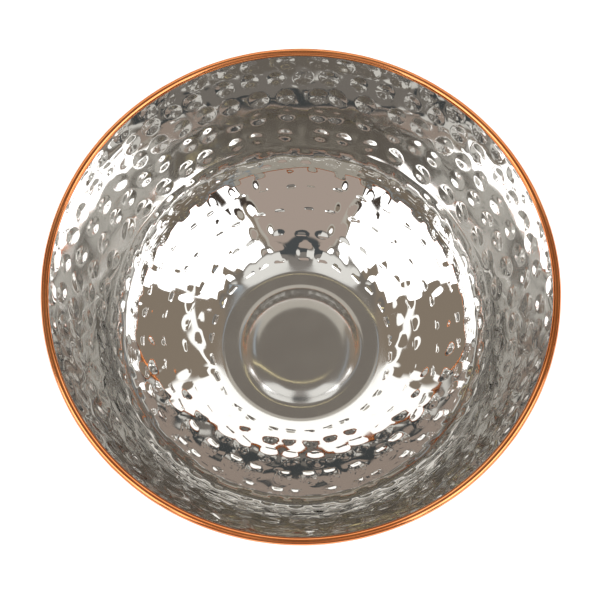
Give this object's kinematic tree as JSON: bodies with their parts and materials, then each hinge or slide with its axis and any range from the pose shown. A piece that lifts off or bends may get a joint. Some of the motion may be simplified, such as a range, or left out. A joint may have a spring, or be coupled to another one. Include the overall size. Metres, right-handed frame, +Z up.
{
  "type": "hammered bowl",
  "caption": "Round hammered serving bowl: polished steel liner nested in a copper shell, with a rolled copper bead round the rim.",
  "frame": {"origin": "centre of the circle that the bowl stands on", "axes": "+Z up out of the bowl's mouth, +X to the right of the view"},
  "size_m": [0.28, 0.28, 0.116],
  "materials": {
    "polished_steel": "hand-hammered and mirror polished, satin on the base",
    "copper": "hammered copper, polished",
    "bead_copper": "polished copper",
    "wire_steel": "plain drawn wire"
  },
  "bodies": {
    "root": {"steel_liner": "polished_steel", "copper_shell": "copper", "rim_bead": "bead_copper", "rim_wire": "wire_steel"}
  },
  "joints": []
}
